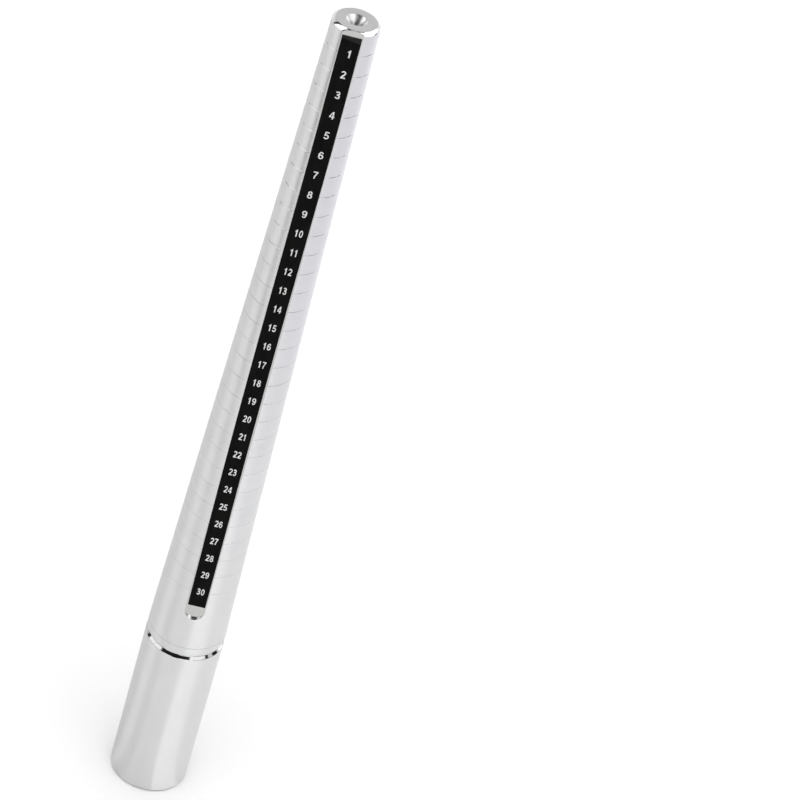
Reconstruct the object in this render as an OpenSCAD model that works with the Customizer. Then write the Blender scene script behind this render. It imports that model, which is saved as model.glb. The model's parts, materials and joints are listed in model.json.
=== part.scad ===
// Ring mandrel: a solid turned bar whose tapered gauge carries one engraved line per ring size.
// A flat slot is milled along the gauge, and a printed size label is stuck to its floor.
// The base stands on the XY plane, +Z runs along the axis to the small end, and the label faces -Y.

/* [Size scale] */
// Number of ring sizes marked on the gauge
sizes = 30; // [12:1:30]
// Inside circumference of a size 1 ring
first_circumference = 44; // [43:0.5:46]
// Circumference added by each size
circumference_step = 1; // [0.9:0.05:1]
// Distance between two neighbouring size lines, along the axis
line_pitch = 6.65; // [6.5:0.05:6.7]
// Distance from the small end to the size 1 line
first_line_drop = 7.4; // [7:0.2:9]
// Width of an engraved size line
line_w = 0.15; // [0.1:0.05:0.3]
// Depth of the size 1 line
first_line_depth = 0.04; // [0.02:0.01:0.1]
// Depth of the last size line
last_line_depth = 0.01; // [0.01:0.01:0.05]

/* [Bar] */
// Overall length
total_length = 284; // [282:1:300]
// Radial width of the bevel around the small end
tip_bevel = 0.95; // [0.6:0.05:1]
// How far the bevel bulges out from a straight cone
tip_bevel_crown = 0.08; // [0:0.02:0.1]
// Diameter of the lathe centre's countersink in the small end
centre_d = 6; // [4:0.5:7]
// Diameter of the pilot hole below the countersink
centre_pilot_d = 2; // [1.5:0.5:3]
// Depth of the pilot hole, measured from the small end
centre_depth = 6; // [5.5:0.5:8]

/* [Handle] */
// Diameter of the handle
handle_d = 24.5; // [24:0.5:26]
// Length of the handle, from the base to the groove
handle_length = 57; // [50:1:60]
// Bevel around the base
base_bevel = 0.8; // [0.4:0.1:1.5]
// Depth of the 90 degree groove between handle and gauge
groove_depth = 0.9; // [0.8:0.1:1.6]
// Height of the gauge's rounded lower edge
gauge_edge_height = 2.9; // [1:0.1:3]
// How far that edge draws in towards the groove
gauge_edge_draw = 0.4; // [0.2:0.05:0.5]

/* [Label slot] */
// Width of the slot
slot_w = 6.2; // [6:0.1:6.4]
// Depth of the slot's flat floor under the gauge's surface
slot_depth = 0.85; // [0.8:0.05:0.9]
// Angle of the slot off the bar's axis, seen from the front
slot_skew = 0.2; // [0:0.05:0.3]
// Distance from the last size line to the slot's round end
slot_run_out = 10.6; // [9.5:0.2:12]

/* [Label] */
// Width of the label
label_w = 5.6; // [5:0.1:5.8]
// Label showing above the size 1 line
label_above = 5.4; // [3:0.2:5.8]
// Label showing below the last size line
label_below = 5.7; // [4:0.1:6]
// Thickness of the adhesive film under the label
adhesive_t = 0.05; // [0.03:0.01:0.08]
// Thickness of the label itself
label_t = 0.12; // [0.08:0.01:0.2]
// Thickness of the printed ink
ink_t = 0.02; // [0.01:0.01:0.04]
// Height of the numerals
numeral_h = 2.4; // [2:0.1:2.8]
// Width of a numeral that stands alone
single_w = 1.5; // [1.2:0.1:1.8]
// Width of each numeral in a pair
paired_w = 1.12; // [0.9:0.02:1.3]
// Gap between the two numerals of a pair
paired_gap = 0.14; // [0.1:0.02:0.3]
// How far the printed column sits right of the label's centre line
numeral_shift = 0.15; // [0:0.05:0.4]

/* [Hidden] */

first_line_z = total_length - first_line_drop;
last_line_z = first_line_z - (sizes - 1) * line_pitch;
taper_angle = atan(circumference_step / (2 * PI * line_pitch));
handle_r = handle_d / 2;
pilot_r = centre_pilot_d / 2;
countersink_half_angle = 30;
drill_point_half_angle = 59;
countersink_depth = (centre_d / 2 - pilot_r) / tan(countersink_half_angle);
crown_steps = 6;
arc_steps = 9;
slot_middle_z = (total_length + last_line_z - slot_run_out) / 2;

// Radius of the plain taper at height z: each size line lies where its own ring stops.
function gauge_radius(z) =
    (first_circumference + circumference_step * (first_line_z - z) / line_pitch) / (2 * PI);

function line_z(size) = first_line_z - (size - 1) * line_pitch;

// Points of a shallow crowned edge from p up to q, both [radius, height].
function crowned_edge(p, q, crown) =
    let (chord = q - p, outward = [chord[1], -chord[0]] / norm(chord))
    [for (i = [0:crown_steps]) let (t = i / crown_steps) p + t * chord + 4 * t * (1 - t) * crown * outward];

// Three points of the V section of one engraved line, from its lower edge to its upper edge.
function line_section(size) =
    let (
        z = line_z(size),
        depth = first_line_depth + (last_line_depth - first_line_depth) * (size - 1) / (sizes - 1)
    )
    [
        [gauge_radius(z - line_w / 2), z - line_w / 2],
        [gauge_radius(z) - depth, z],
        [gauge_radius(z + line_w / 2), z + line_w / 2]
    ];

function half_profile() =
    let (
        groove_z = handle_length + groove_depth,
        gauge_base_z = groove_z + groove_depth - gauge_edge_draw,
        cone_base_z = gauge_base_z + gauge_edge_height,
        cone_base = [gauge_radius(cone_base_z), cone_base_z],
        gauge_base = [handle_r - gauge_edge_draw, gauge_base_z],
        bevel_z = total_length - tip_bevel,
        bevel_base = [gauge_radius(bevel_z), bevel_z],
        point_depth = pilot_r / tan(drill_point_half_angle)
    )
    concat(
        [[0, 0], [handle_r - base_bevel, 0], [handle_r, base_bevel], [handle_r, handle_length]],
        [[handle_r - groove_depth, groove_z]],
        crowned_edge(gauge_base, cone_base, gauge_edge_draw / 4),
        [for (size = [sizes:-1:1]) each line_section(size)],
        crowned_edge(bevel_base, bevel_base + [-tip_bevel, tip_bevel], tip_bevel_crown),
        [[centre_d / 2, total_length], [pilot_r, total_length - countersink_depth]],
        [[pilot_r, total_length - centre_depth], [0, total_length - centre_depth - point_depth]]
    );

// Puts a flat drawing on the slot's floor: its origin at the size 1 line, its +Y up the slot.
module on_floor() {
    skew_shift = (first_line_z - slot_middle_z) * tan(slot_skew);
    translate([-skew_shift, slot_depth - gauge_radius(first_line_z), first_line_z])
        rotate([90 - taper_angle, 0, 0])
            rotate([0, 0, slot_skew])
                children();
}

// Distance along the floor from the size 1 line to height z.
function floor_y(z) = (z - first_line_z) / cos(taper_angle);

module slot_cutter() {
    cutter_height = 4;
    end_y = floor_y(last_line_z - slot_run_out) + slot_w / 2;
    open_y = floor_y(total_length) + 2;
    on_floor()
        linear_extrude(cutter_height)
            union() {
                translate([-slot_w / 2, end_y])
                    square([slot_w, open_y - end_y]);
                translate([0, end_y])
                    circle(d = slot_w, $fn = 64);
            }
}

module label_layer(base, thickness) {
    low_y = floor_y(last_line_z - label_below);
    high_y = floor_y(first_line_z + label_above);
    on_floor()
        translate([-label_w / 2, low_y, base])
            cube([label_w, high_y - low_y, thickness]);
}

// Numerals are drawn 1 high and glyph_w wide, then scaled to their printed width.
glyph_w = 0.66;
stroke_w = 0.17;

function arc(centre, radii, from, to) =
    [for (i = [0:arc_steps]) let (a = from + (to - from) * i / arc_steps)
        centre + [radii[0] * cos(a), radii[1] * sin(a)]];

function along(path, i) =
    let (step = path[min(i + 1, len(path) - 1)] - path[max(i - 1, 0)])
    step / norm(step);

function beside(path, offset) =
    [for (i = [0:len(path) - 1]) path[i] + offset * [-along(path, i)[1], along(path, i)[0]]];

function reversed(path) = [for (i = [len(path) - 1:-1:0]) path[i]];

module stroke(path) {
    polygon(concat(beside(path, stroke_w / 2), reversed(beside(path, -stroke_w / 2))));
}

module oval(centre, radii) {
    count = 26;
    hole = radii - [stroke_w, stroke_w * 0.9];
    outer = [for (i = [0:count - 1]) let (a = 360 * i / count) centre + [radii[0] * cos(a), radii[1] * sin(a)]];
    inner = [for (i = [0:count - 1]) let (a = 360 * i / count) centre + [hole[0] * cos(a), hole[1] * sin(a)]];
    polygon(
        concat(outer, inner),
        [[for (i = [0:count - 1]) i], [for (i = [0:count - 1]) count + i]]
    );
}

module bar(low, high) {
    translate(low) square(high - low);
}

module one() {
    polygon([[0.24, 0], [0.43, 0], [0.43, 1], [0.29, 1], [0.23, 0.88], [0.08, 0.8], [0.08, 0.65], [0.24, 0.72]]);
}

module two() {
    stroke(concat(arc([0.325, 0.7], [0.225, 0.215], 165, -30), [[0.3, 0.3], [0.12, 0.09]]));
    bar([0.03, 0], [0.63, 0.16]);
}

module three() {
    stroke(arc([0.3, 0.74], [0.2, 0.175], 155, -90));
    stroke(arc([0.3, 0.295], [0.235, 0.21], 90, -155));
    bar([0.19, 0.45], [0.31, 0.6]);
}

module four() {
    polygon(
        [
            [0.36, 1], [0.54, 1], [0.54, 0.37], [0.65, 0.37], [0.65, 0.22], [0.54, 0.22], [0.54, 0],
            [0.37, 0], [0.37, 0.22], [0.01, 0.22], [0.01, 0.38], [0.37, 0.37], [0.37, 0.74], [0.15, 0.37]
        ],
        [[0, 1, 2, 3, 4, 5, 6, 7, 8, 9, 10], [11, 12, 13]]
    );
}

module five() {
    bar([0.12, 0.84], [0.6, 1]);
    polygon([[0.1, 1], [0.05, 0.45], [0.21, 0.45], [0.25, 1]]);
    stroke(arc([0.31, 0.33], [0.245, 0.25], 135, -155));
}

module six() {
    oval([0.33, 0.32], [0.32, 0.32]);
    stroke(arc([0.34, 0.5], [0.245, 0.415], 40, 190));
}

module seven() {
    bar([0.03, 0.84], [0.63, 1]);
    stroke([[0.54, 0.86], [0.42, 0.68], [0.32, 0.46], [0.26, 0.23], [0.24, 0]]);
}

module eight() {
    oval([0.33, 0.735], [0.275, 0.265]);
    oval([0.33, 0.285], [0.32, 0.285]);
}

module nine() {
    translate([glyph_w, 1]) rotate(180) six();
}

module zero() {
    oval([0.33, 0.5], [0.31, 0.5]);
}

module glyph(digit) {
    if (digit == 0) zero();
    if (digit == 1) one();
    if (digit == 2) two();
    if (digit == 3) three();
    if (digit == 4) four();
    if (digit == 5) five();
    if (digit == 6) six();
    if (digit == 7) seven();
    if (digit == 8) eight();
    if (digit == 9) nine();
}

// One printed digit whose lower left corner is at place.
module ink_digit(digit, place, width) {
    translate([place[0], place[1], adhesive_t + label_t])
        linear_extrude(ink_t)
            scale([width / glyph_w, numeral_h])
                glyph(digit);
}

module numeral(size) {
    low_y = floor_y(line_z(size)) - numeral_h / 2;
    pair_step = paired_w + paired_gap;
    if (size < 10) {
        ink_digit(size, [numeral_shift - single_w / 2, low_y], single_w);
    } else {
        ink_digit(floor(size / 10), [numeral_shift - pair_step + paired_gap / 2, low_y], paired_w);
        ink_digit(size % 10, [numeral_shift + paired_gap / 2, low_y], paired_w);
    }
}

module mandrel_body() {
    color("silver")
        difference() {
            rotate_extrude($fn = 96)
                polygon(half_profile());
            slot_cutter();
        }
}

module label_adhesive() {
    color("gainsboro") label_layer(0, adhesive_t);
}

module size_label() {
    color([0.07, 0.07, 0.07]) label_layer(adhesive_t, label_t);
}

module size_numerals() {
    color("white")
        on_floor()
            for (size = [1:sizes]) numeral(size);
}

mandrel_body();
label_adhesive();
size_label();
size_numerals();
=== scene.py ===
import json
import math

import bpy
import numpy as np
from mathutils import Matrix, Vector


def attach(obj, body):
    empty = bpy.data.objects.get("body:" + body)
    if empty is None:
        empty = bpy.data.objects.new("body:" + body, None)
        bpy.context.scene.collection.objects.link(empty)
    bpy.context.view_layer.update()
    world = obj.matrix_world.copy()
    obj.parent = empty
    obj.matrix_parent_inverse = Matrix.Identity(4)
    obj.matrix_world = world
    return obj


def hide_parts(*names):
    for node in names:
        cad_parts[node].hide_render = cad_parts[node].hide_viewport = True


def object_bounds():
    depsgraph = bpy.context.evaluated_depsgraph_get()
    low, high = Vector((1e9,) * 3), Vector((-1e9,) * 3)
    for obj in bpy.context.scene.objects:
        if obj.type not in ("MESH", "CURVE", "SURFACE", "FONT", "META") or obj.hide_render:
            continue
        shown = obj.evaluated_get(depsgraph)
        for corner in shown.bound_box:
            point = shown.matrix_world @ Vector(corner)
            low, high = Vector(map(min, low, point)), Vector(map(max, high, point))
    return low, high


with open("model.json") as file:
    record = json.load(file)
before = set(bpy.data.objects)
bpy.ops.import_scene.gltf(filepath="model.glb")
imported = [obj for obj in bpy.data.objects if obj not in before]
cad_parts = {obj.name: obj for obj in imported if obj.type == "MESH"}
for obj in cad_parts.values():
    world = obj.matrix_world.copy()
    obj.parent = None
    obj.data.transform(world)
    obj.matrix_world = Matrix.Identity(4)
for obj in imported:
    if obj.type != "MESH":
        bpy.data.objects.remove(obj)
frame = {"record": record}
cad_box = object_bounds()

# Ring mandrel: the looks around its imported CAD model. The part's shapes are worked out in
# millimetres in the CAD frame, base on the XY plane and label facing -Y, and become metres in add_mesh.
MM = 0.001
MICRON = 0.000001

mounts = {mount["name"]: mount for mount in frame["record"]["mounts"]}
grip = mounts["handle_grip"]

TOTAL_LENGTH = cad_box[1].z / MM
FIRST_LINE_Z = mounts["ring_gauge"]["pos_m"][2] / MM
HANDLE_R = grip["dims"]["r_mm"]
BASE_BEVEL = grip["pos_m"][2] / MM - grip["dims"]["length_mm"] / 2
HANDLE_LENGTH = BASE_BEVEL + grip["dims"]["length_mm"]

# The size scale
SIZES = 30
FIRST_CIRCUMFERENCE = 44.0
LINE_PITCH = 6.65
LINE_W = 0.18
FIRST_LINE_DEPTH = 0.048
LAST_LINE_DEPTH = 0.02
TAPER = math.atan(1 / (math.tau * LINE_PITCH))

# The turned ends, the groove, and the rounded edge above it with the line that marks its top
TIP_BEVEL = 0.95
TIP_BEVEL_CROWN = 0.08
CENTRE_R = 3.0
PILOT_R = 1.0
PILOT_DEPTH = 6.0
COUNTERSINK_HALF_ANGLE = math.radians(30)
DRILL_POINT_HALF_ANGLE = math.radians(59)
GROOVE_DEPTH = 0.9
GAUGE_EDGE_HEIGHT = 2.9
GAUGE_EDGE_DRAW = 0.4
GAUGE_EDGE_CROWN = 0.1
EDGE_LINE_RISE = 0.3
EDGE_LINE_W = 0.5
EDGE_LINE_DEPTH = 0.045

# How far from a corner the curve that breaks it starts
CORNER_EASE = 0.12
LIP_EASE = 0.14
GROOVE_EASE = 0.2
COUNTERSINK_EASE = 0.1
PILOT_EASE = 0.05

# The milled slot, and the frame on its floor that it shares with the label
SLOT_W = 6.2
SLOT_DEPTH = 0.85
SLOT_SKEW = math.radians(0.2)
SLOT_RUN_OUT = 10.6
LAST_LINE_Z = FIRST_LINE_Z - (SIZES - 1) * LINE_PITCH
SLOT_LOW_Z = LAST_LINE_Z - SLOT_RUN_OUT
SKEW_SHIFT = (FIRST_LINE_Z - (TOTAL_LENGTH + SLOT_LOW_Z) / 2) * math.tan(SLOT_SKEW)

# The label
LABEL_W = 5.6
LABEL_ABOVE = 5.4
LABEL_BELOW = 5.7
ADHESIVE_T = 0.05
LABEL_T = 0.12
INK_T = 0.02
NUMERAL_H = 2.4
SINGLE_W = 1.5
PAIRED_W = 1.12
PAIRED_GAP = 0.14
NUMERAL_RISE = 0.08
FIRST_NUMERAL_SHIFT = 0.2
LAST_NUMERAL_SHIFT = 0.1

# How finely the curved surfaces are divided
COLUMNS = 288
EASE_STEPS = 6
CROWN_STEPS = 14
ROUND_END_STEPS = 28
ARCH_STEPS = 22
CLOSED_BEVEL_STEPS = 4
BEVEL_SAMPLES = 2001
SETTLE_ROUNDS = 6


def gauge_radius(z):
    """Radius of the plain taper: each size line lies where its own ring stops."""
    return (FIRST_CIRCUMFERENCE + (FIRST_LINE_Z - z) / LINE_PITCH) / math.tau


def floor_distance(z):
    """Distance of the slot's flat floor from the bar's axis."""
    return gauge_radius(z) - SLOT_DEPTH


def line_z(size):
    """Height of a size line."""
    return FIRST_LINE_Z - (size - 1) * LINE_PITCH


def along_floor(z):
    """Distance along the slot's floor from the size 1 line to height z."""
    return (z - FIRST_LINE_Z) / math.cos(TAPER)


def on_floor(across, along, height):
    """Point of the CAD frame from a place on the slot's floor and a height above it."""
    right = across * math.cos(SLOT_SKEW) - along * math.sin(SLOT_SKEW)
    up = across * math.sin(SLOT_SKEW) + along * math.cos(SLOT_SKEW)
    x = right - SKEW_SHIFT
    y = up * math.sin(TAPER) - height * math.cos(TAPER) - floor_distance(FIRST_LINE_Z)
    z = up * math.cos(TAPER) + height * math.sin(TAPER) + FIRST_LINE_Z
    return np.stack(np.broadcast_arrays(x, y, z), -1)


def link(name, data):
    """A new object of the scene that shows the data."""
    thing = bpy.data.objects.new(name, data)
    bpy.context.scene.collection.objects.link(thing)
    return thing


# ---------------------------------------------------------------- camera

CAMERA_AZIMUTH = math.radians(-3.41)
CAMERA_DISTANCE = 0.8339
CAMERA_HEIGHT = 0.7757
CAMERA_HEADING = math.radians(6.283)
CAMERA_TILT = math.radians(36.180)
CAMERA_ROLL = math.radians(17.368)
CAMERA_LENS = 159.98
CAMERA_CLIP = (0.05, 50)


def make_camera():
    """The camera, whose distance and height are in metres."""
    data = bpy.data.cameras.new("camera")
    data.lens = CAMERA_LENS
    data.clip_start, data.clip_end = CAMERA_CLIP
    camera = link("camera", data)
    place = (
        CAMERA_DISTANCE * math.sin(CAMERA_AZIMUTH),
        -CAMERA_DISTANCE * math.cos(CAMERA_AZIMUTH),
        CAMERA_HEIGHT,
    )
    camera.matrix_world = (
        Matrix.Translation(place)
        @ Matrix.Rotation(-CAMERA_HEADING, 4, "Z")
        @ Matrix.Rotation(math.pi / 2 - CAMERA_TILT, 4, "X")
        @ Matrix.Rotation(CAMERA_ROLL, 4, "Z")
    )
    bpy.context.scene.camera = camera


# ---------------------------------------------------------------- meshes

# Less than the slope of the shallowest size line, so that no line tints the metal beside it
SHARP_ANGLE = math.radians(8.5)


def add_mesh(name, points, faces, materials, finishes=None):
    """A smooth-shaded mesh object from points in millimetres; finishes pick each face's material."""
    mesh = bpy.data.meshes.new(name)
    mesh.from_pydata((np.asarray(points) * MM).tolist(), [], faces)
    for material in materials:
        mesh.materials.append(material)
    if finishes is not None:
        mesh.polygons.foreach_set("material_index", finishes)
    mesh.polygons.foreach_set("use_smooth", [True] * len(faces))
    mesh.set_sharp_from_angle(angle=SHARP_ANGLE)
    mesh.validate()
    return link(name, mesh)


# ---------------------------------------------------------------- the bar

TURNED, POLISHED, FACED, MILLED, DRILLED, ENGRAVED, GROOVED = range(7)


def crowned(low, high, crown):
    """A shallow crowned edge from low to high, both (radius, height), as a function of the way along."""
    low, high = np.array(low), np.array(high)
    chord = high - low
    outward = np.array((chord[1], -chord[0])) / np.linalg.norm(chord)
    return lambda t: low + t * chord + 4 * t * (1 - t) * crown * outward


def eased(corners):
    """A profile of (radius, height, finish) whose corners are broken by short curves.

    Each corner is (radius, height, ease, finish): ease is how far from the corner the curve
    starts, and finish is that of the surface that follows."""
    profile = []
    for i, (radius, height, ease, finish) in enumerate(corners):
        here = np.array((radius, height))
        if not ease:
            profile.append((radius, height, finish))
            continue
        ends = [np.array(corners[i + step][:2]) - here for step in (-1, 1)]
        start, end = [here + ease * way / np.linalg.norm(way) for way in ends]
        for t in np.linspace(0, 1, EASE_STEPS + 1):
            point = (1 - t) ** 2 * start + 2 * t * (1 - t) * here + t * t * end
            profile.append((point[0], point[1], finish))
    return profile


def lower_profile():
    """From the base's centre up to the plain taper above the groove."""
    groove_z = HANDLE_LENGTH + GROOVE_DEPTH
    gauge_base_z = groove_z + GROOVE_DEPTH - GAUGE_EDGE_DRAW
    cone_base_z = gauge_base_z + GAUGE_EDGE_HEIGHT
    cone_base = (gauge_radius(cone_base_z), cone_base_z)
    gauge_base = (HANDLE_R - GAUGE_EDGE_DRAW, gauge_base_z)
    edge = crowned(gauge_base, cone_base, GAUGE_EDGE_CROWN)
    corners = [
        (0, 0, 0, FACED),
        (HANDLE_R - BASE_BEVEL, 0, CORNER_EASE, POLISHED),
        (HANDLE_R, BASE_BEVEL, CORNER_EASE, TURNED),
        (HANDLE_R, HANDLE_LENGTH, LIP_EASE, GROOVED),
        (HANDLE_R - GROOVE_DEPTH, groove_z, GROOVE_EASE, GROOVED),
        (*gauge_base, CORNER_EASE, TURNED),
    ]
    corners += [(*edge(t), 0, TURNED) for t in np.linspace(0, 1, CROWN_STEPS + 1)[1:]]
    return eased(corners) + engraved(cone_base_z + EDGE_LINE_RISE, EDGE_LINE_W, EDGE_LINE_DEPTH)


def engraved(z, width, depth):
    """The V section of a fine line round the plain taper, as (radius, height, finish)."""
    low, high = z - width / 2, z + width / 2
    return [
        (gauge_radius(low), low, ENGRAVED),
        (gauge_radius(z) - depth, z, ENGRAVED),
        (gauge_radius(high), high, TURNED),
    ]


def size_line(size):
    """One engraved size line. They grow shallower towards the handle."""
    down = (size - 1) / (SIZES - 1)
    depth = FIRST_LINE_DEPTH + (LAST_LINE_DEPTH - FIRST_LINE_DEPTH) * down
    return engraved(line_z(size), LINE_W, depth)


def bevel_profile():
    """The crowned bevel at the small end, divided so that the slot's arch across it is smooth."""
    low_z = TOTAL_LENGTH - TIP_BEVEL
    low_r = gauge_radius(low_z)
    point = crowned((low_r, low_z), (low_r - TIP_BEVEL, TOTAL_LENGTH), TIP_BEVEL_CROWN)
    fine = np.linspace(0, 1, BEVEL_SAMPLES)
    radii, heights = np.array([point(t) for t in fine]).T
    reach = np.sqrt(np.clip(radii**2 - floor_distance(heights) ** 2, 0, None))
    pole = fine[np.argmax(reach <= 0)]
    corner = wall_x(1, -floor_distance(TOTAL_LENGTH), TOTAL_LENGTH)
    wanted = np.sort(np.append(np.linspace(0, reach[0], ARCH_STEPS)[1:], corner))[::-1]
    steps = np.interp(-wanted, -reach[fine < pole], fine[fine < pole])
    open_part = [(*point(t), POLISHED) for t in steps]
    closed_steps = np.linspace(pole, 1, CLOSED_BEVEL_STEPS + 1)[:-1]
    return open_part, [(*point(t), POLISHED) for t in closed_steps]


def centre_profile():
    """From the end face down the lathe centre's countersink to the bottom of its pilot hole."""
    countersink_z = TOTAL_LENGTH - (CENTRE_R - PILOT_R) / math.tan(COUNTERSINK_HALF_ANGLE)
    point_z = TOTAL_LENGTH - PILOT_DEPTH
    tip_r = gauge_radius(TOTAL_LENGTH - TIP_BEVEL) - TIP_BEVEL
    corners = [
        (tip_r, TOTAL_LENGTH, 0, FACED),
        (CENTRE_R, TOTAL_LENGTH, COUNTERSINK_EASE, DRILLED),
        (PILOT_R, countersink_z, PILOT_EASE, DRILLED),
        (PILOT_R, point_z, PILOT_EASE, DRILLED),
        (0, point_z - PILOT_R / math.tan(DRILL_POINT_HALF_ANGLE), 0, DRILLED),
    ]
    return eased(corners)


def wall_x(side, y, z):
    """Where the slot's straight wall stands: side is 1 for the right wall and -1 for the left."""
    up = (y + floor_distance(FIRST_LINE_Z)) * math.sin(TAPER) + (z - FIRST_LINE_Z) * math.cos(TAPER)
    return (side * SLOT_W / 2 - up * math.sin(SLOT_SKEW)) / math.cos(SLOT_SKEW) - SKEW_SHIFT


def slot_edge(side, radius, z):
    """The slot's edge on the turned surface, and the foot of its wall below that edge."""
    x = side * SLOT_W / 2
    for _ in range(SETTLE_ROUNDS):
        x = wall_x(side, -math.sqrt(radius**2 - x**2), z)
    depth = floor_distance(z)
    reach = math.sqrt(max(radius**2 - depth**2, 0))
    if abs(x) >= reach:
        edge = (side * reach, -depth, z)
        return edge, edge
    return (x, -math.sqrt(radius**2 - x**2), z), (wall_x(side, -depth, z), -depth, z)


def round_edge(side, angle):
    """The same pair of points on the slot's round end, at an angle below its centre."""
    across = side * SLOT_W / 2 * math.cos(angle)
    along = along_floor(SLOT_LOW_Z) + SLOT_W / 2 * (1 - math.sin(angle))
    height = SLOT_DEPTH
    for _ in range(SETTLE_ROUNDS):
        x, y, z = on_floor(across, along, height)
        height += (y + math.sqrt(gauge_radius(z) ** 2 - x**2)) / math.cos(TAPER)
    return tuple(on_floor(across, along, height)), tuple(on_floor(across, along, 0))


class Lathe:
    """Rows of points round the bar. The slot interrupts a row that is open."""

    def __init__(self):
        self.points, self.faces, self.finishes = [], [], []
        self.last = None

    def add_point(self, point):
        self.points.append(tuple(point))
        return len(self.points) - 1

    def add_face(self, finish, *indices):
        corners = list(dict.fromkeys(indices))
        if len(corners) > 2:
            self.faces.append(corners)
            self.finishes.append(finish)

    def row(self, radius_at, right, left, finish, is_open):
        """A row from the slot's right edge round the back to its left edge, joined to the last row.

        right and left are (edge, foot) pairs of points, and a closed row has both on its seam.
        finish is that of the surface that follows."""
        start = math.atan2(right[0][0], -right[0][1])
        end = math.atan2(left[0][0], -left[0][1]) + math.tau
        count = COLUMNS + 1 if is_open else COLUMNS
        turns = np.linspace(start, end, COLUMNS + 1)[:count]
        heights = np.linspace(right[0][2], left[0][2], COLUMNS + 1)[:count]
        ring = [
            self.add_point((radius_at(z) * math.sin(turn), -radius_at(z) * math.cos(turn), z))
            for turn, z in zip(turns, heights)
        ]
        if not is_open:
            ring.append(ring[0])
        feet = [
            ring[at] if edge == foot else self.add_point(foot)
            for at, (edge, foot) in ((0, right), (-1, left))
        ]
        if not is_open:
            feet[1] = feet[0]
        self.join(ring, feet, finish, is_open)

    def closed_row(self, radius, z, seam, finish):
        """A level row all the way round, with its seam at an angle from the label's side."""
        point = (radius * math.sin(seam), -radius * math.cos(seam), z)
        self.row(lambda height: radius, (point, point), (point, point), finish, False)

    def open_row(self, radius, z, finish):
        """A level row between the slot's straight walls."""
        self.row(lambda height: radius, slot_edge(1, radius, z), slot_edge(-1, radius, z), finish, True)

    def pole(self, z, finish):
        """A point on the axis, where a surface starts or ends."""
        ring = [self.add_point((0, 0, z))] * (COLUMNS + 1)
        self.join(ring, ring[:2], finish, False)

    def join(self, ring, feet, finish, is_open):
        """Closes the surface, and the slot's walls and floor, between the last row and this one."""
        if self.last:
            below, feet_below, finish_below, was_open = self.last
            for j in range(COLUMNS):
                self.add_face(finish_below, below[j], below[j + 1], ring[j + 1], ring[j])
            if is_open or was_open:
                self.add_face(POLISHED, below[0], ring[0], feet[0], feet_below[0])
                self.add_face(POLISHED, feet_below[1], feet[1], ring[-1], below[-1])
                self.add_face(MILLED, feet_below[0], feet[0], feet[1], feet_below[1])
        self.last = (ring, feet, finish, is_open)


def make_bar(materials):
    """The whole bar as one closed mesh, with one material for each finish."""
    lathe = Lathe()
    apex = round_edge(1, math.pi / 2)
    seam = math.atan2(apex[0][0], -apex[0][1])
    lathe.pole(0, FACED)
    for radius, z, finish in lower_profile()[1:]:
        lathe.closed_row(radius, z, seam, finish)
    lathe.row(gauge_radius, apex, apex, TURNED, False)
    for angle in np.linspace(math.pi / 2, 0, ROUND_END_STEPS + 1)[1:]:
        lathe.row(gauge_radius, round_edge(1, angle), round_edge(-1, angle), TURNED, True)
    for size in range(SIZES, 0, -1):
        for radius, z, finish in size_line(size):
            lathe.open_row(radius, z, finish)
    open_bevel, closed_bevel = bevel_profile()
    for radius, z, finish in open_bevel:
        lathe.open_row(radius, z, finish)
    centre = centre_profile()
    for radius, z, finish in closed_bevel + centre[:-1]:
        lathe.closed_row(radius, z, 0, finish)
    lathe.pole(centre[-1][1], DRILLED)
    return add_mesh("mandrel_bar", lathe.points, lathe.faces, materials, lathe.finishes)


# ---------------------------------------------------------------- the label

LABEL_LOW = along_floor(LAST_LINE_Z - LABEL_BELOW)
LABEL_HIGH = along_floor(FIRST_LINE_Z + LABEL_ABOVE)
LABEL_STEPS = 160
LABEL_EDGE = 0.03
DRIFT_MIDDLE = -0.04
DRIFT_SWING = 0.2
DRIFT_WAVELENGTH = 209.0
DRIFT_START = 0.4
CUT_SHIFT = -0.11
CUT_SHIFT_FROM = (-24, -10)
CUT_TAPER = 0.12
CUT_TAPER_LENGTH = 30
LIFT = 0.03
LIFT_LENGTH = 2.5
# The painted sheen near the label's upper end: how far below the top its slanting line lies, the line's
# slope, and how soon the sheen fades in
LABEL_SHEEN_FROM_TOP = 3.0
LABEL_SHEEN_SLOPE = 0.16
LABEL_SHEEN_FADE = 0.3


def label_drift(along):
    """How far the label, stuck down by hand, wanders to the right of the slot's middle."""
    return DRIFT_MIDDLE + DRIFT_SWING * np.cos(math.tau * along / DRIFT_WAVELENGTH + DRIFT_START)


def label_sides(along):
    """Distances of the label's hand-cut left and right sides from the middle of its print."""
    shift = np.interp(along, CUT_SHIFT_FROM, (0, CUT_SHIFT))
    half = LABEL_W / 2 - np.interp(along, (LABEL_LOW, LABEL_LOW + CUT_TAPER_LENGTH), (CUT_TAPER, 0))
    return shift - half, shift + half


def label_lift(along):
    """How far the label's upper end has come away from the floor."""
    return LIFT * np.clip((along - LABEL_HIGH + LIFT_LENGTH) / LIFT_LENGTH, 0, None) ** 2


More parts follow.
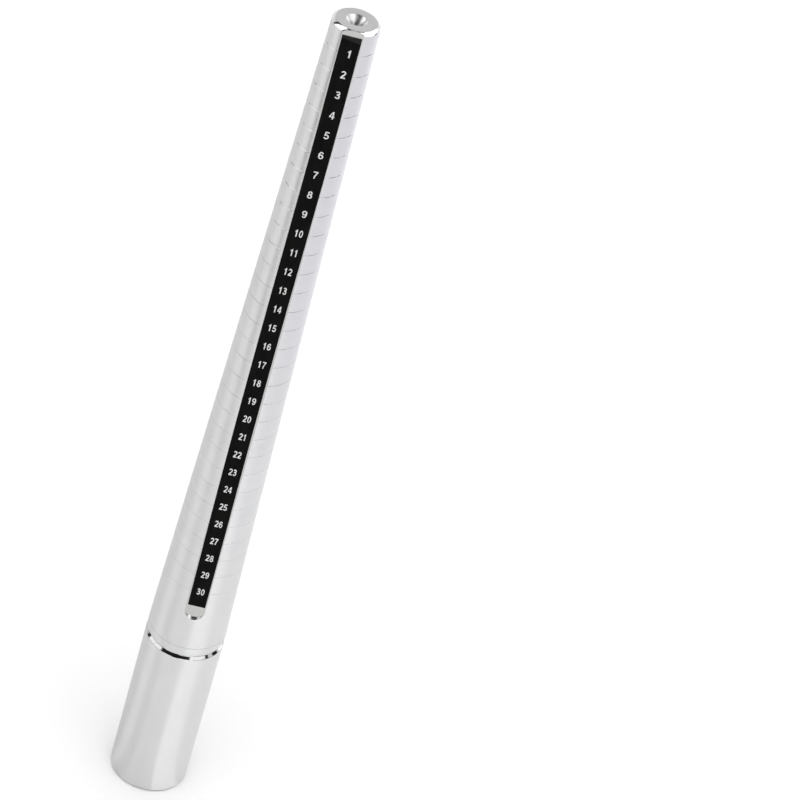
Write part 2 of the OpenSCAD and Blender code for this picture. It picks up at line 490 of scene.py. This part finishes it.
def make_film(name, inset, low, thickness, material):
    """A strip of film along the slot, inset from the label's outline, with softened upper edges."""
    high = low + thickness
    edge = min(LABEL_EDGE, thickness / 2)
    points, faces = [], []
    for along in np.linspace(LABEL_LOW + inset, LABEL_HIGH - inset, LABEL_STEPS + 1):
        left, right = label_sides(along) + label_drift(along) + np.array((inset, -inset))
        section = [
            (left, low), (right, low), (right, high - edge), (right - edge, high),
            (left + edge, high), (left, high - edge),
        ]
        for across, height in section:
            points.append(on_floor(across, along, height + label_lift(along)))
    count = len(section)
    for i in range(LABEL_STEPS):
        for j in range(count):
            k = (j + 1) % count
            faces.append((i * count + j, (i + 1) * count + j, (i + 1) * count + k, i * count + k))
    faces.append(tuple(range(count)))
    faces.append(tuple(range(LABEL_STEPS * count, (LABEL_STEPS + 1) * count))[::-1])
    return add_mesh(name, points, faces, [material])


# The numerals are drawn one high and GLYPH_W wide, as closed outlines, and printed at their real size.
GLYPH_W = 0.66
GLYPH_ARC_STEP = 9


def arc(centre, radii, start, end):
    """Points of an elliptical arc, with its angles in degrees."""
    count = max(2, round(abs(end - start) / GLYPH_ARC_STEP))
    turns = np.radians(np.linspace(start, end, count + 1))
    return [(centre[0] + radii[0] * math.cos(t), centre[1] + radii[1] * math.sin(t)) for t in turns]


def bow(start, control, end, steps=8):
    """Points of a quadratic curve."""
    start, control, end = np.array(start), np.array(control), np.array(end)
    ways = np.linspace(0, 1, steps + 1)
    return [tuple((1 - t) ** 2 * start + 2 * t * (1 - t) * control + t * t * end) for t in ways]


def ellipse(centre, radii):
    """Points of a whole ellipse, which closes itself."""
    return arc(centre, radii, 0, 350)


def zero():
    middle = (0.33, 0.5)
    return [ellipse(middle, (0.31, 0.5)), ellipse(middle, (0.14, 0.35))]


def one():
    flag = bow((0.29, 1), (0.24, 0.84), (0.07, 0.8))
    return [[(0.24, 0), (0.43, 0), (0.43, 1), *flag, (0.07, 0.65), (0.24, 0.73)]]


def two():
    bowl = (0.325, 0.7)
    foot = [(0.03, 0), (0.63, 0), (0.63, 0.16), (0.28, 0.16), (0.38, 0.27)]
    outer = arc(bowl, (0.31, 0.3), -35, 165)
    inner = arc(bowl, (0.14, 0.13), 165, -30)
    return [foot + outer + inner + bow((0.36, 0.5), (0.08, 0.28), (0.04, 0.08), 5)]


def three():
    upper, lower = (0.3, 0.74), (0.3, 0.295)
    outer = arc(lower, (0.32, 0.295), -158, 55) + arc(upper, (0.285, 0.26), -50, 158)
    inner_upper = arc(upper, (0.115, 0.1), 158, -80)
    inner_lower = arc(lower, (0.15, 0.135), 85, -158)
    return [outer + inner_upper + [(0.19, 0.61), (0.19, 0.46)] + inner_lower]


def four():
    outer = [
        (0.36, 1), (0.54, 1), (0.54, 0.37), (0.65, 0.37), (0.65, 0.22), (0.54, 0.22), (0.54, 0),
        (0.37, 0), (0.37, 0.22), (0.01, 0.22), (0.01, 0.38),
    ]
    return [outer, [(0.37, 0.37), (0.37, 0.74), (0.15, 0.37)]]


def five():
    bowl = (0.31, 0.33)
    inner = arc(bowl, (0.16, 0.17), 140, -157)
    outer = arc(bowl, (0.33, 0.33), -157, 104)
    return [[(0.6, 1), (0.11, 1), (0.05, 0.45)] + inner + outer + [(0.25, 0.84), (0.6, 0.84)]]


def six():
    bowl, hook = (0.33, 0.32), (0.34, 0.5)
    outer = arc(hook, (0.33, 0.5), 38, 180) + arc(bowl, (0.32, 0.32), 180, 476)
    inner = arc(hook, (0.16, 0.34), 162, 38)
    return [outer + inner, ellipse(bowl, (0.15, 0.17))]


def seven():
    left = bow((0.43, 0.84), (0.18, 0.5), (0.155, 0))
    right = bow((0.325, 0), (0.33, 0.43), (0.63, 0.87))
    return [[(0.63, 1), (0.03, 1), (0.03, 0.84)] + left + right]


def eight():
    upper, lower = (0.33, 0.735), (0.33, 0.285)
    outer = arc(lower, (0.32, 0.285), 122, 418) + arc(upper, (0.275, 0.265), -52, 232)
    return [outer, ellipse(upper, (0.115, 0.125)), ellipse(lower, (0.15, 0.14))]


def nine():
    return [[(GLYPH_W - x, 1 - y) for x, y in outline] for outline in six()]


DIGITS = [zero, one, two, three, four, five, six, seven, eight, nine]


def numeral_outlines(size):
    """The outlines of one size's numeral, in millimetres from the size 1 line on the label."""
    low = along_floor(line_z(size)) + NUMERAL_RISE - NUMERAL_H / 2
    width = SINGLE_W if size < 10 else PAIRED_W
    outlines = [
        [(place * (width + PAIRED_GAP) + x * width / GLYPH_W, low + y * NUMERAL_H) for x, y in outline]
        for place, digit in enumerate(str(size))
        for outline in DIGITS[int(digit)]()
    ]
    across = [x for outline in outlines for x, y in outline]
    middle = (min(across) + max(across)) / 2
    down = (size - 1) / (SIZES - 1)
    shift = FIRST_NUMERAL_SHIFT + (LAST_NUMERAL_SHIFT - FIRST_NUMERAL_SHIFT) * down - middle
    return [[(x + shift, y) for x, y in outline] for outline in outlines]


def make_numerals(material):
    """All the numerals as one filled, slightly raised layer of ink that follows the label."""
    curve = bpy.data.curves.new("ink_outlines", "CURVE")
    curve.dimensions, curve.fill_mode, curve.extrude = "2D", "BOTH", INK_T / 2
    for size in range(1, SIZES + 1):
        for outline in numeral_outlines(size):
            spline = curve.splines.new("POLY")
            spline.points.add(len(outline) - 1)
            spline.points.foreach_set("co", [v for x, y in outline for v in (x, y, 0, 1)])
            spline.use_cyclic_u = True
    drawing = link("ink_outlines", curve)
    flat = drawing.to_mesh()
    across, along, height = np.array([vertex.co for vertex in flat.vertices]).T
    top = ADHESIVE_T + LABEL_T + INK_T / 2 + label_lift(along)
    points = on_floor(across + label_drift(along), along, height + top)
    faces = [tuple(polygon.vertices) for polygon in flat.polygons]
    drawing.to_mesh_clear()
    bpy.data.objects.remove(drawing)
    return add_mesh("printed_numerals", points, faces, [material])


# ---------------------------------------------------------------- materials

# The size lines are bright up to the first of these sizes, and dull from the second on
BRIGHT_TO_SIZE = 8
DULL_FROM_SIZE = 12


class Nodes:
    """A node tree, with short ways to add and join its nodes."""

    def __init__(self, tree):
        self.tree = tree

    def node(self, kind, **settings):
        """Adds a node: lower-case settings are its properties, capitalised ones its inputs."""
        made = self.tree.nodes.new("ShaderNode" + kind)
        for name, value in settings.items():
            if name[0].islower():
                setattr(made, name, value)
            else:
                self.feed(made.inputs[name.replace("_", " ")], value)
        return made

    def feed(self, socket, value):
        """Joins another socket to this one, or sets a constant."""
        if isinstance(value, bpy.types.NodeSocket):
            self.tree.links.new(value, socket)
        else:
            socket.default_value = value

    def ranged(self, value, low, high, start=0.3, stop=0.7):
        """Remaps a value between start and stop to run from low to high."""
        inputs = {"From_Min": start, "From_Max": stop, "To_Min": low, "To_Max": high}
        return self.node("MapRange", Value=value, **inputs).outputs["Result"]

    def place(self):
        """Object coordinates, in metres."""
        return self.node("TexCoord").outputs["Object"]

    def vector_math(self, operation, first, second=(0, 0, 0), result="Vector"):
        """A sum with vectors. The node's inputs share a name, so they go by number."""
        made = self.node("VectorMath", operation=operation)
        self.feed(made.inputs[0], first)
        self.feed(made.inputs[1], second)
        return made.outputs[result]

    def mixed_colour(self, factor, first, second):
        """From one colour to another. A Mix node's colours share their names, so they go by number."""
        made = self.node("Mix", data_type="RGBA", Factor=factor)
        self.feed(made.inputs[6], first)
        self.feed(made.inputs[7], second)
        return made.outputs[2]


def grey(level):
    """A neutral colour."""
    return (level,) * 3


class Recipe(Nodes):
    """A node material round one Principled shader."""

    def __init__(self, name, **settings):
        self.material = bpy.data.materials.new(name)
        self.material.use_nodes = True
        super().__init__(self.material.node_tree)
        self.shader = self.tree.nodes["Principled BSDF"]
        for socket, value in settings.items():
            self.shader.inputs[socket.replace("_", " ")].default_value = value

    def noise(self, vector, scale, detail, roughness):
        made = self.node("TexNoise", Vector=vector, Scale=scale, Detail=detail, Roughness=roughness)
        return made.outputs["Fac"]

    def grain(self, scale, detail=2.0, roughness=0.5):
        """Noise with so many features a metre along each axis."""
        mapped = self.node("Mapping", Vector=self.place(), Scale=scale)
        return self.noise(mapped.outputs["Vector"], 1.0, detail, roughness)

    def circles(self, scale, detail, roughness):
        """Noise that changes with the distance from the bar's axis only, as a facing tool leaves it."""
        flat = self.vector_math("MULTIPLY", self.place(), (1, 1, 0))
        distance = self.vector_math("LENGTH", flat, result="Value")
        across = self.node("CombineXYZ", X=distance)
        return self.noise(across.outputs["Vector"], scale, detail, roughness)

    def colours(self, factor, low, high, start=0.3, stop=0.7):
        """A colour ramp from low, where the factor is at start, to high, where it is at stop."""
        ramp = self.node("ValToRGB", Fac=factor)
        for element, position, colour in zip(ramp.color_ramp.elements, (start, stop), (low, high)):
            element.position, element.color = position, (*colour, 1)
        return ramp.outputs["Color"]

    def bump(self, height, microns, strength=1.0):
        made = self.node("Bump", Height=height, Distance=microns * MICRON, Strength=strength)
        self.feed(self.shader.inputs["Normal"], made.outputs["Normal"])

    def complete(self, colour, roughness=None):
        """Feeds the base colour, and the roughness where it varies, and gives the finished material."""
        self.feed(self.shader.inputs["Base Color"], colour)
        if roughness is not None:
            self.feed(self.shader.inputs["Roughness"], roughness)
        return self.material


def turned_aluminium():
    """Satin metal with fine turning marks round the bar."""
    recipe = Recipe("turned_aluminium", Metallic=1.0, Anisotropic=0.7, Anisotropic_Rotation=0.25)
    marks = recipe.grain((25, 25, 9000), 4.0, 0.7)
    bands = recipe.grain((4, 4, 260), 3.0, 0.6)
    blotches = recipe.grain((90, 90, 45), 3.0, 0.6)
    recipe.feed(recipe.shader.inputs["Tangent"], recipe.node("Tangent", axis="Z").outputs["Tangent"])
    recipe.bump(marks, 3, 0.5)
    colour = recipe.colours(blotches, (0.78, 0.78, 0.785), (0.81, 0.81, 0.815))
    return recipe.complete(colour, recipe.ranged(bands, 0.27, 0.35))


def cut_aluminium(name, brightness):
    """The bright cut of a fine tool: the bevels, the slot's walls and the groove."""
    recipe = Recipe(name, Metallic=1.0)
    marks = recipe.grain((60, 60, 12000), 3.0, 0.6)
    recipe.bump(marks, 1, 0.3)
    colour = recipe.colours(marks, grey(brightness - 0.02), grey(brightness + 0.02), 0.2, 0.8)
    return recipe.complete(colour, recipe.ranged(marks, 0.07, 0.13))


def engraved_aluminium():
    """The size lines and the gauge's edge line, with less gloss towards the handle."""
    recipe = Recipe("engraved_aluminium", Metallic=1.0)
    marks = recipe.grain((60, 60, 12000), 3.0, 0.6)
    colour = recipe.colours(marks, grey(0.64), grey(0.68), 0.2, 0.8)
    height = recipe.node("SeparateXYZ", Vector=recipe.place()).outputs["Z"]
    limits = (line_z(DULL_FROM_SIZE) * MM, line_z(BRIGHT_TO_SIZE) * MM)
    return recipe.complete(colour, recipe.ranged(height, 0.26, 0.1, *limits))


def ringed_aluminium(name, fineness, brightness, roughness):
    """A faced end or a drilled hole, with circles left by the tool."""
    recipe = Recipe(name, Metallic=1.0)
    marks = recipe.circles(fineness, 3.0, 0.6)
    recipe.bump(marks, 4, 0.6)
    colour = recipe.colours(marks, grey(brightness[0]), grey(brightness[1]), 0.2, 0.8)
    return recipe.complete(colour, recipe.ranged(marks, *roughness))


def milled_aluminium():
    """The slot's floor, with faint marks across the cut."""
    recipe = Recipe("milled_aluminium", Metallic=1.0)
    marks = recipe.grain((300, 300, 2600), 3.0, 0.6)
    recipe.bump(marks, 2, 0.5)
    colour = recipe.colours(marks, (0.6, 0.595, 0.585), (0.66, 0.655, 0.645), 0.2, 0.8)
    return recipe.complete(colour, recipe.ranged(marks, 0.18, 0.26))


def adhesive_film():
    """Cloudy adhesive, seen only along the label's edges."""
    recipe = Recipe("adhesive_film", Roughness=0.5)
    clouds = recipe.grain((900, 900, 900))
    recipe.bump(clouds, 5)
    return recipe.complete(recipe.colours(clouds, (0.7, 0.7, 0.66), (0.8, 0.8, 0.77)))


def label_film():
    """Black film with a painted sheen: a lighter grey above a slanting line near its upper end."""
    recipe = Recipe("label_film", Specular_IOR_Level=0.04)
    clouds = recipe.grain((350, 350, 120), 4.0, 0.6)
    recipe.bump(clouds, 10, 0.5)
    black = recipe.colours(clouds, grey(0.004), (0.007, 0.007, 0.0065))
    middle = (0, 0, (TOTAL_LENGTH - LABEL_SHEEN_FROM_TOP - LABEL_W / 2 * LABEL_SHEEN_SLOPE) * MM)
    offset = recipe.vector_math("SUBTRACT", recipe.place(), middle)
    above = recipe.vector_math("DOT_PRODUCT", offset, (LABEL_SHEEN_SLOPE, 0, 1), "Value")
    # Painted sheen: the film turns a lighter grey above the slanting line
    painted_sheen = recipe.ranged(above, 0, 1, 0, LABEL_SHEEN_FADE * MM)
    colour = recipe.mixed_colour(painted_sheen, black, (0.024, 0.024, 0.023, 1))
    return recipe.complete(colour, recipe.ranged(clouds, 0.2, 0.35))


def white_ink():
    """Printed ink, faintly grainy."""
    recipe = Recipe("white_ink", Roughness=0.45)
    grain = recipe.grain((5000, 5000, 5000))
    recipe.bump(grain, 3)
    return recipe.complete(recipe.colours(grain, grey(0.84), (0.93, 0.93, 0.92)))


def matt_paper(name, darker, lighter):
    """Plain matt paper with a faint fibre."""
    recipe = Recipe(name, Roughness=0.9, Specular_IOR_Level=0.1)
    fibre = recipe.grain((700, 700, 700))
    return recipe.complete(recipe.colours(fibre, darker, lighter))


# ---------------------------------------------------------------- studio

FLOOR_HALF = 6000
PAPER_END = 3000
PAPER_Z = 0.5
PAPER_STEPS = 24
PAPER_SHADE = 0.97
SUN_STRENGTH = 3.1
SUN_SPREAD = math.radians(70)
SUN_TILT = math.radians(12)


def standing(azimuth, distance, height):
    """Where something stands round the bar, turned to face its axis. Lengths are in metres.

    Azimuth is in degrees: 0 is the label's side, and it grows to the right."""
    turn = math.radians(azimuth)
    place = (distance * math.sin(turn), -distance * math.cos(turn), height)
    return Matrix.Translation(place) @ Matrix.Rotation(turn, 4, "Z") @ Matrix.Rotation(math.pi / 2, 4, "X")


def add_panel(name, azimuths, distance, low, high, brightness):
    """A standing soft panel that the metal reflects, between two azimuths and from low to high."""
    width = 2 * distance * math.tan(math.radians(azimuths[1] - azimuths[0]) / 2)
    data = bpy.data.lights.new(name, "AREA")
    data.shape, data.size, data.size_y = "RECTANGLE", width, high - low
    data.energy = brightness * math.pi * width * (high - low)
    panel = link(name, data)
    panel.matrix_world = standing(sum(azimuths) / 2, distance, (low + high) / 2)
    panel.visible_camera, panel.visible_diffuse = False, False


def add_paper(name, azimuths, reach, height, colour):
    """A sector of paper lying on the floor round the bar, which only reflections show."""
    row = PAPER_STEPS + 1
    turns = np.radians(np.linspace(*azimuths, row))
    points = [(r * math.sin(turn), -r * math.cos(turn), height) for r in reach for turn in turns]
    faces = [(i, i + 1, i + 1 + row, i + row) for i in range(PAPER_STEPS)]
    darker = [PAPER_SHADE * channel for channel in colour]
    paper = add_mesh(name, points, faces, [matt_paper(name + "_grey", darker, colour)])
    paper.visible_camera = paper.visible_diffuse = paper.visible_shadow = False


def add_sun():
    """Soft light from above, for the floor and everything matt."""
    data = bpy.data.lights.new("sun", "SUN")
    data.energy, data.angle = SUN_STRENGTH, SUN_SPREAD
    sun = link("sun", data)
    sun.matrix_world = Matrix.Rotation(SUN_TILT, 4, "X")
    sun.visible_glossy = False


def make_floor():
    """The plain pale floor that the bar stands on."""
    half = FLOOR_HALF
    points = [(-half, -half, 0), (half, -half, 0), (half, half, 0), (-half, half, 0)]
    paper = matt_paper("floor_paper", grey(0.95), grey(0.965))
    floor = add_mesh("floor", points, [(0, 1, 2, 3)], [paper])


BACKDROP_LOW = 0.9
BACKDROP_HIGH = 0.25
BACKDROP_STARTS = 0.36
BACKDROP_FULL = 0.44
ROOM = 0.012
SEEN = 0.97


def make_world():
    """A dark room in front and above, a pale backdrop behind, and plain white where the camera looks."""
    world = bpy.data.worlds.new("studio")
    bpy.context.scene.world = world
    world.use_nodes = True
    nodes = Nodes(world.node_tree)
    way = nodes.node("SeparateXYZ", Vector=nodes.node("TexCoord").outputs["Generated"])
    backdrop = nodes.ranged(way.outputs["Z"], BACKDROP_LOW, BACKDROP_HIGH, 0, 1)
    shade = nodes.ranged(way.outputs["Y"], ROOM, backdrop, BACKDROP_STARTS, BACKDROP_FULL)
    both = nodes.node("MixShader", Fac=nodes.node("LightPath").outputs["Is Camera Ray"])
    nodes.feed(both.inputs[1], nodes.node("Background", Color=shade).outputs["Background"])
    seen = nodes.node("Background", Color=(*grey(SEEN), 1))
    nodes.feed(both.inputs[2], seen.outputs["Background"])
    nodes.feed(world.node_tree.nodes["World Output"].inputs["Surface"], both.outputs["Shader"])


# Each paper's name, azimuths, nearest and farthest reach, height above the floor, and colour
PAPERS = (
    ("left_paper", (-180, -95), (1, PAPER_END), PAPER_Z, grey(0.7)),
    ("pale_paper", (-95, -68), (1, PAPER_END), PAPER_Z, grey(0.82)),
    ("dark_paper", (-68, -42), (1, PAPER_END), PAPER_Z, grey(0.73)),
    ("front_paper", (-42, 12), (1, PAPER_END), PAPER_Z, (0.8, 0.8, 0.795)),
    ("right_paper", (60, 160), (1, 240), PAPER_Z, grey(0.85)),
    ("cool_paper", (14, 160), (240, PAPER_END), PAPER_Z, (0.83, 0.83, 0.87)),
    ("stand_leg", (-60, -48), (420, 1500), 2 * PAPER_Z, grey(0.08)),
    ("far_paper", (14, 160), (400, PAPER_END), 2 * PAPER_Z, (0.76, 0.76, 0.8)),
)

# Each panel's name, azimuths, distance, lower and upper edge in metres, and brightness
PANELS = (
    ("left_panel", (-104, -59), 1.2, 1.15, 3.6, 1.5),
    ("left_middle_panel", (-104, -59), 1.2, 0.72, 1.15, 1.25),
    ("left_end_panel", (-104, -80), 1.2, 0.36, 0.72, 1.25),
    ("left_low_panel", (-80, -50), 1.2, 0.36, 0.72, 1.5),
    ("right_panel", (31, 74), 1.2, 1.4, 3.6, 1.5),
    ("right_low_panel", (31, 74), 1.2, 0.67, 1.4, 1.25),
    ("right_line_panel", (40, 60), 1.2, 0.4, 0.67, 1.0),
    ("side_panel", (74, 135), 0.5, 0.42, 1.3, 1.5),
    ("low_panel", (82, 94), 0.5, 0.24, 0.36, 0.85),
    ("far_panel", (108, 150), 0.5, 0.06, 0.22, 0.7),
    ("front_panel", (-3, 36), 1.2, 0.15, 0.85, 2.0),
    ("front_left_panel", (-44, -21), 1.2, 0.15, 0.7, 1.3),
)


make_camera()

bar = make_bar([
    turned_aluminium(),
    cut_aluminium("polished_aluminium", 0.89),
    ringed_aluminium("faced_aluminium", 6000.0, (0.89, 0.96), (0.25, 0.34)),
    milled_aluminium(),
    ringed_aluminium("drilled_aluminium", 5000.0, (0.84, 0.92), (0.27, 0.35)),
    engraved_aluminium(),
    cut_aluminium("grooved_aluminium", 0.66),
])
adhesive = make_film("adhesive_layer", 0.05, 0, ADHESIVE_T, adhesive_film())
label = make_film("label_strip", 0, ADHESIVE_T, LABEL_T, label_film())
numerals = make_numerals(white_ink())

for piece, node_name, slot in (
    (bar, "mandrel_body", "aluminium"),
    (adhesive, "label_adhesive", "adhesive"),
    (label, "size_label", "label"),
    (numerals, "size_numerals", "ink"),
):
    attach(piece, "root")
    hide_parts(node_name)

make_floor()
make_world()
add_sun()
for paper in PAPERS:
    add_paper(*paper)
for panel in PANELS:
    add_panel(*panel)
bpy.context.scene.view_settings.view_transform = "Standard"
